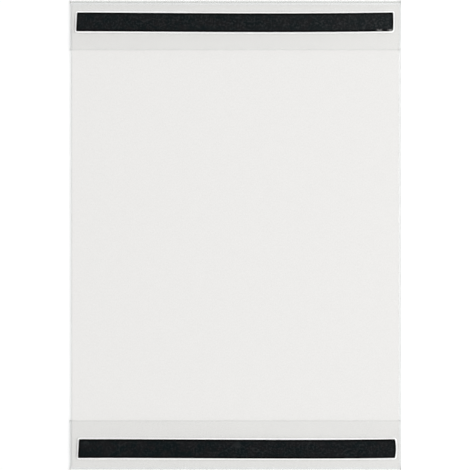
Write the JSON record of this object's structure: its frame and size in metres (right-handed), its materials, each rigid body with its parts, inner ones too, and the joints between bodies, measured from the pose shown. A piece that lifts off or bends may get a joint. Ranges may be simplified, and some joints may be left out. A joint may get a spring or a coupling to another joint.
{
  "type": "magnetic document pocket",
  "caption": "Clear film pocket for an A4 sheet, folded over at top and bottom onto its back, open along both long sides, with a black flexible magnetic strip along each folded flange.",
  "frame": {"origin": "middle of the front pane's outer face, which is the face that the pocket lies on", "axes": "+Z out of the pocket's back, where the flanges and magnetic strips are; +Y to the pocket's top edge; +X to the right, seen from the back"},
  "size_m": [0.2129, 0.3014, 0.0023],
  "materials": {
    "clear_film": "clear film with a soft sheen",
    "paper": "uncoated white",
    "white_tape": "white, matt",
    "magnetic_rubber": "matt, faintly mottled"
  },
  "bodies": {
    "root": {"film_sleeve": "clear_film", "insert_sheet": "paper", "adhesive_tape_top": "white_tape", "adhesive_tape_bottom": "white_tape", "magnetic_strip_top": "magnetic_rubber", "magnetic_strip_bottom": "magnetic_rubber"}
  },
  "joints": []
}
